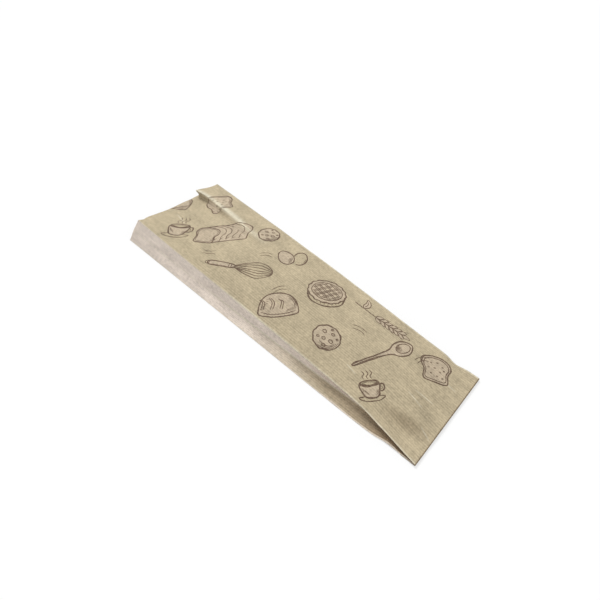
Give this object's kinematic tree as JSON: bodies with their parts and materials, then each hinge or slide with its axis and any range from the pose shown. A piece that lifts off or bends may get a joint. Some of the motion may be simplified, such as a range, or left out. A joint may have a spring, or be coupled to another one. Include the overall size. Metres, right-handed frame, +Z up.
{
  "type": "paper baguette bag",
  "caption": "Long side-gusseted kraft paper bag for bread, lying on its back panel with an open mouth and a folded, glued bottom.",
  "frame": {"origin": "middle of the footprint, on the surface the back panel lies on", "axes": "+X along the bag from the open mouth to the glued bottom, +Y across it from the opened near gusset to the far side, +Z up"},
  "size_m": [0.45, 0.1558, 0.0243],
  "materials": {
    "kraft_paper": "ribbed unbleached kraft, matt with a faint machine glaze"
  },
  "bodies": {
    "root": {"paper_bag": "kraft_paper"}
  },
  "joints": []
}
